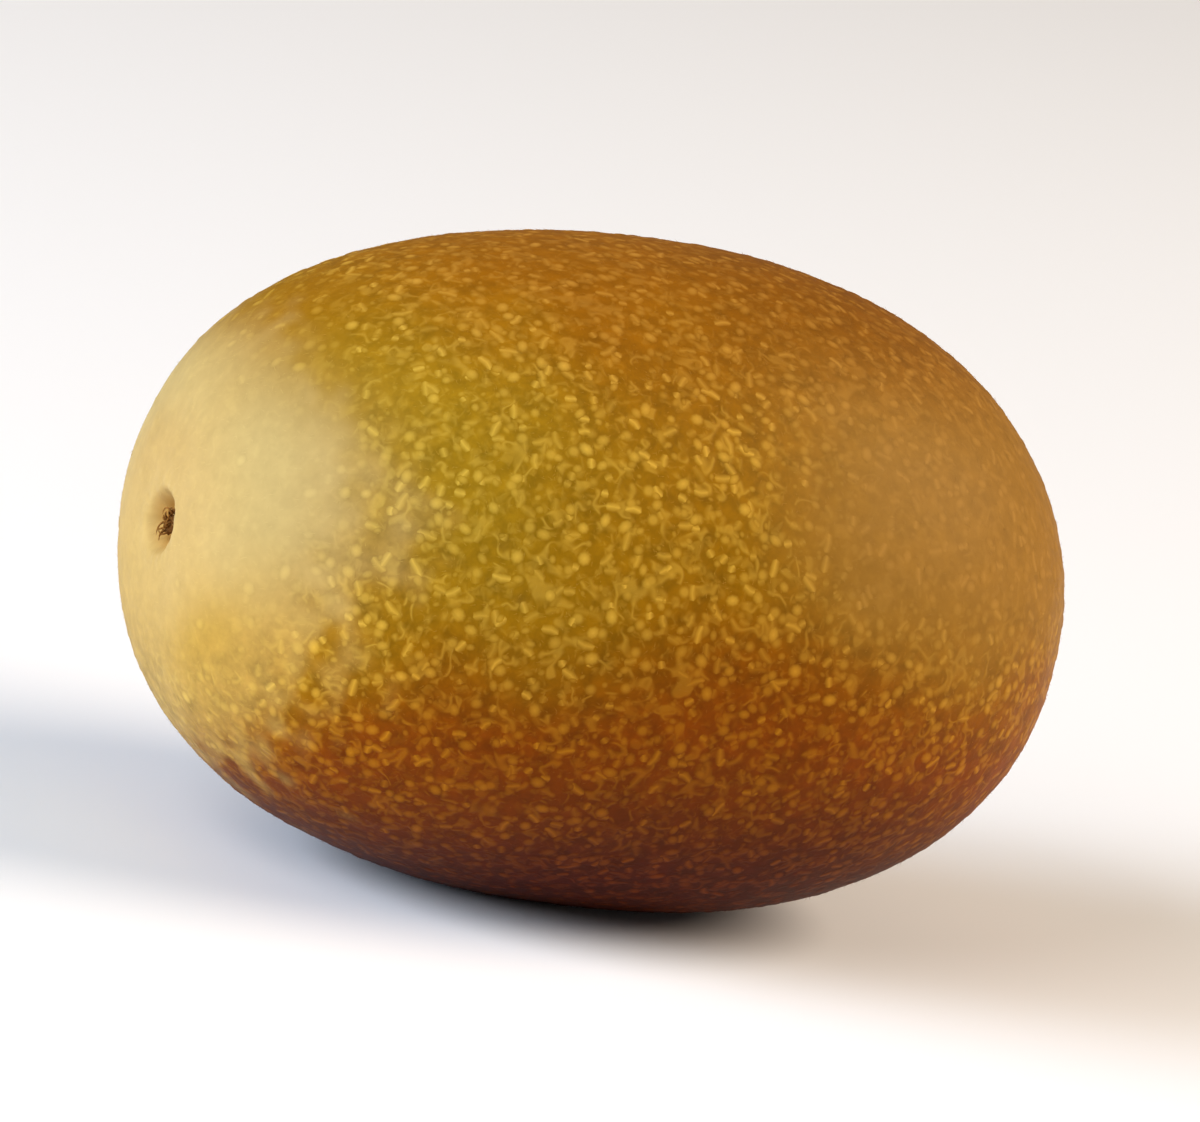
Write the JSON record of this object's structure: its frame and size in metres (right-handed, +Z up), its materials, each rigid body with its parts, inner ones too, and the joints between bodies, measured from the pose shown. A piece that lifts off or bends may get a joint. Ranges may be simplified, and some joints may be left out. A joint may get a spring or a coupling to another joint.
{
  "type": "golden kiwi fruit",
  "caption": "Whole golden kiwi fruit, an oval berry with thin downy skin, a small pit at its blossom end and a corky scar at its stem end, lying on its side.",
  "frame": {"origin": "on the surface that the fruit lies on, below the middle of the fruit's box", "axes": "+X along the fruit's axis from its blossom end to its stem end, +Y across it, +Z up from the surface it lies on"},
  "size_m": [0.0718, 0.0532, 0.0495],
  "materials": {
    "skin": "satin",
    "cork": "matte",
    "withered_styles": "matte"
  },
  "bodies": {
    "root": {"fruit": "skin", "stem_scar": "cork", "withered_styles": "withered_styles"}
  },
  "joints": []
}
